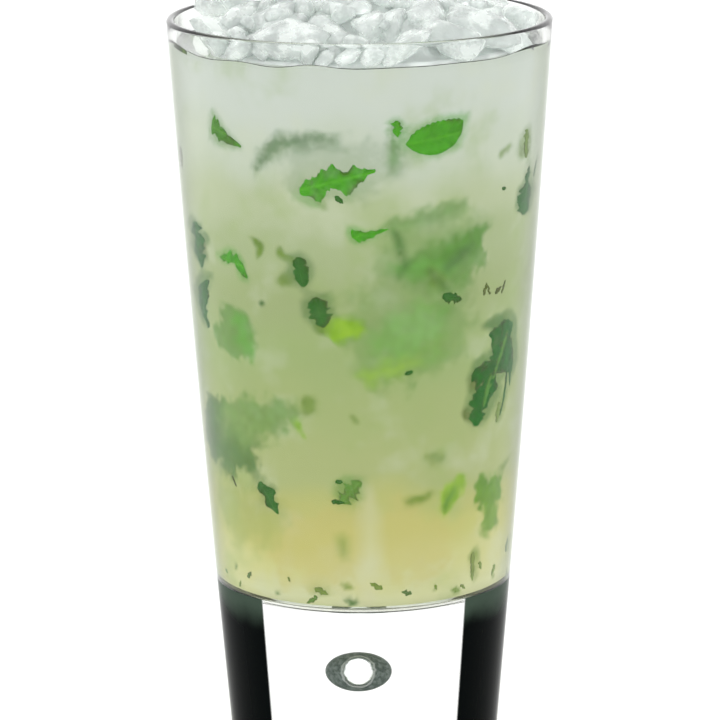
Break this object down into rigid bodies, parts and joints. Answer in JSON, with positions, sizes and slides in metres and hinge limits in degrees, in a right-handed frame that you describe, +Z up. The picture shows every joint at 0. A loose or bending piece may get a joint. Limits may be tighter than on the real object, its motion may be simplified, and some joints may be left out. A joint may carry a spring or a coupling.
{
  "type": "mojito cocktail in a highball glass",
  "caption": "Tall heavy-based tumbler with an air bubble in its foot, filled with a cloudy mint and lime drink and heaped with crushed ice.",
  "frame": {"origin": "centre of the glass's underside, where it stands", "axes": "+Z up along the glass's axis; -Y towards the viewer; +X to the viewer's right"},
  "size_m": [0.079, 0.079, 0.1654],
  "materials": {
    "clear_glass": "polished",
    "cloudy_drink": "wet, cloudy",
    "crushed_ice": "wet, frosted",
    "mint_leaf": "satin leaf"
  },
  "bodies": {
    "root": {"glass": "clear_glass", "drink": "cloudy_drink", "ice": "crushed_ice"}
  },
  "joints": []
}
